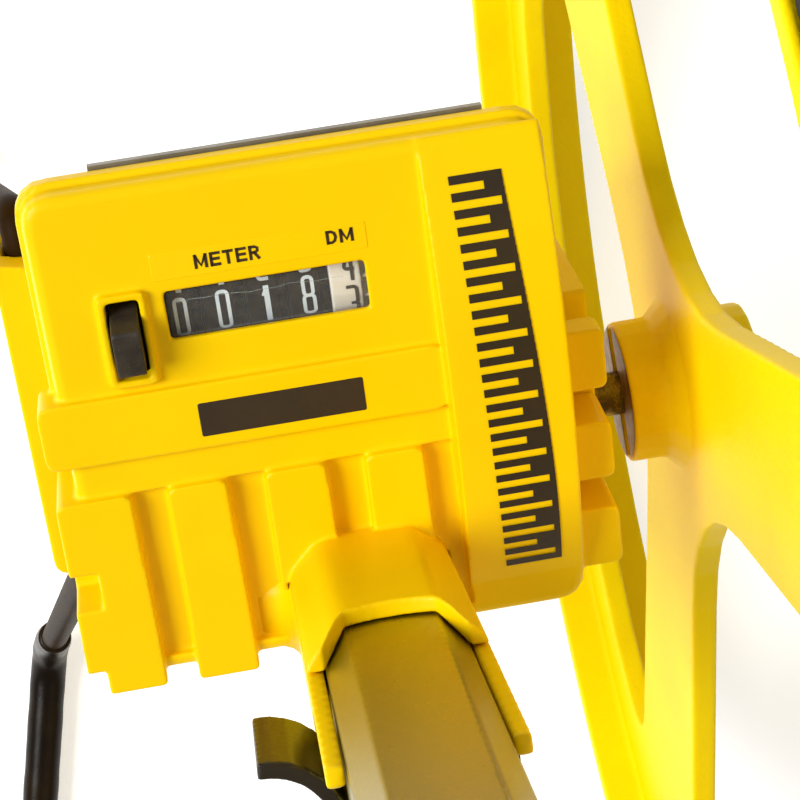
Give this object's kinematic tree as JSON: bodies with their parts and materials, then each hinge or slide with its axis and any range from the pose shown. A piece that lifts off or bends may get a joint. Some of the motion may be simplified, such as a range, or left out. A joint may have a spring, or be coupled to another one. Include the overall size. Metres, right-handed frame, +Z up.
{
  "type": "measuring wheel",
  "caption": "Distance measuring wheel with a spoked wheel, a geared number-drum counter in a ribbed housing, a swing-out wire stand and a folding handle with a grip.",
  "frame": {"origin": "centre of the bounding box at floor level, where the tyre and the stand's sleeves rest", "axes": "+X along the axle from the housing to the wheel, +Y forward in the rolling direction, +Z up"},
  "size_m": [0.1866, 0.3516, 1.0003],
  "materials": {
    "moulded_yellow": "satin-gloss moulded plastic with a fine spark-eroded grain",
    "powder_coat": "fine-grained yellow powder coat",
    "tyre": "matt ribbed tread",
    "yellow_steel": "turned steel, yellow passivated",
    "bare_steel": "brushed, zinc plated",
    "bearing_brass": "turned",
    "clear_lens": "clear, lightly scratched",
    "white_plastic": "matt",
    "black_plastic": "fine matt grain",
    "satin_tube": "satin anodised",
    "black_rod": "black gloss coat",
    "sleeve_rubber": "smooth vinyl sleeve with dust specks",
    "grip_rubber": "fine matt grain"
  },
  "bodies": {
    "housing": {"front_cover": "moulded_yellow", "housing_rear": "moulded_yellow", "chassis_plate": "bare_steel", "window_lens": "clear_lens", "counter_frame": "bare_steel", "pinion_shaft": "bare_steel", "idler_pin": "bare_steel", "outer_bush": "bearing_brass", "inner_bush": "bearing_brass", "cover_screw_1": "bare_steel", "cover_screw_2": "bare_steel", "cover_screw_3": "bare_steel", "cover_screw_4": "bare_steel", "stand_cover": "moulded_yellow", "lower_tube": "satin_tube", "stand_clip": "black_plastic", "lower_yoke": "black_plastic", "fold_pin": "bare_steel"},
    "wheel": {"wheel_casting": "powder_coat", "tyre": "tyre", "axle": "yellow_steel", "key_pin": "bare_steel", "hub_washer": "bare_steel", "hub_nut": "bare_steel", "axle_gear": "white_plastic"},
    "idler": {"idler_gear": "white_plastic"},
    "decimetres": {"drum_decimetres": "white_plastic", "drum_shaft": "bare_steel", "drum_gear": "white_plastic"},
    "metres": {"drum_metres": "black_plastic"},
    "tens": {"drum_tens": "black_plastic"},
    "hundreds": {"drum_hundreds": "black_plastic"},
    "thousands": {"drum_thousands": "black_plastic"},
    "transfer_1": {"pinion_1": "white_plastic"},
    "transfer_2": {"pinion_2": "white_plastic"},
    "transfer_3": {"pinion_3": "white_plastic"},
    "transfer_4": {"pinion_4": "white_plastic"},
    "reset": {"reset_lever": "black_plastic"},
    "stand": {"stand_rod": "black_rod", "rear_sleeve": "sleeve_rubber", "front_sleeve": "sleeve_rubber"},
    "upper_handle": {"upper_yoke": "black_plastic", "upper_tube": "satin_tube", "grip_core": "moulded_yellow", "grip_cover": "grip_rubber", "end_cap": "black_plastic"},
    "latch": {"latch_button": "moulded_yellow"}
  },
  "joints": [
    {"name": "wheel_spin", "type": "hinge", "parent": "housing", "child": "wheel", "pos_m": [0.0693, 0.01661, 0.15915], "axis": [1, 0, 0], "continuous": true},
    {"name": "idler_spin", "type": "hinge", "parent": "housing", "child": "idler", "pos_m": [0.0693, 0.03287, 0.17268], "axis": [1, 0, 0], "continuous": true},
    {"name": "decimetre_spin", "type": "hinge", "parent": "housing", "child": "decimetres", "pos_m": [0.0693, 0.04914, 0.18621], "axis": [1, 0, 0], "continuous": true},
    {"name": "metre_spin", "type": "hinge", "parent": "housing", "child": "metres", "pos_m": [0.0693, 0.04914, 0.18621], "axis": [1, 0, 0], "continuous": true},
    {"name": "tens_spin", "type": "hinge", "parent": "housing", "child": "tens", "pos_m": [0.0693, 0.04914, 0.18621], "axis": [1, 0, 0], "continuous": true},
    {"name": "hundreds_spin", "type": "hinge", "parent": "housing", "child": "hundreds", "pos_m": [0.0693, 0.04914, 0.18621], "axis": [1, 0, 0], "continuous": true},
    {"name": "thousands_spin", "type": "hinge", "parent": "housing", "child": "thousands", "pos_m": [0.0693, 0.04914, 0.18621], "axis": [1, 0, 0], "continuous": true},
    {"name": "pinion_1_spin", "type": "hinge", "parent": "housing", "child": "transfer_1", "pos_m": [0.0693, 0.05502, 0.17166], "axis": [1, 0, 0], "continuous": true},
    {"name": "pinion_2_spin", "type": "hinge", "parent": "housing", "child": "transfer_2", "pos_m": [0.0693, 0.05502, 0.17166], "axis": [1, 0, 0], "continuous": true},
    {"name": "pinion_3_spin", "type": "hinge", "parent": "housing", "child": "transfer_3", "pos_m": [0.0693, 0.05502, 0.17166], "axis": [1, 0, 0], "continuous": true},
    {"name": "pinion_4_spin", "type": "hinge", "parent": "housing", "child": "transfer_4", "pos_m": [0.0693, 0.05502, 0.17166], "axis": [1, 0, 0], "continuous": true},
    {"name": "reset_press", "type": "hinge", "parent": "housing", "child": "reset", "pos_m": [0.0693, 0.04914, 0.18621], "axis": [1, 0, 0], "range_deg": [0, 8], "stiffness_Nm_per_rad": 0.05, "springref_deg": -20.05},
    {"name": "stand_swing", "type": "hinge", "parent": "housing", "child": "stand", "pos_m": [-0.0312, 0.03144, 0.16515], "axis": [0, 0.9272, 0.3746], "range_deg": [0, 150]},
    {"name": "handle_fold", "type": "hinge", "parent": "housing", "child": "upper_handle", "pos_m": [0.0183, -0.09343, 0.5876], "axis": [1, 0, 0], "range_deg": [0, 170]},
    {"name": "latch_slide", "type": "slide", "parent": "upper_handle", "child": "latch", "axis": [0, -0.1478, 0.989], "range_m": [0, 0.005], "stiffness_N_per_m": 400, "springref_m": -0.002}
  ],
  "couplings": [
    {"joint": "idler_spin", "follows": "wheel_spin", "ratio": -0.8},
    {"joint": "decimetre_spin", "follows": "wheel_spin", "ratio": 1},
    {"joint": "metre_spin", "follows": "wheel_spin", "ratio": 0.1},
    {"joint": "tens_spin", "follows": "wheel_spin", "ratio": 0.01},
    {"joint": "hundreds_spin", "follows": "wheel_spin", "ratio": 0.001},
    {"joint": "thousands_spin", "follows": "wheel_spin", "ratio": 0.0001},
    {"joint": "pinion_4_spin", "follows": "wheel_spin", "ratio": -0.25},
    {"joint": "pinion_3_spin", "follows": "wheel_spin", "ratio": -0.025},
    {"joint": "pinion_2_spin", "follows": "wheel_spin", "ratio": -0.0025},
    {"joint": "pinion_1_spin", "follows": "wheel_spin", "ratio": -0.00025}
  ]
}
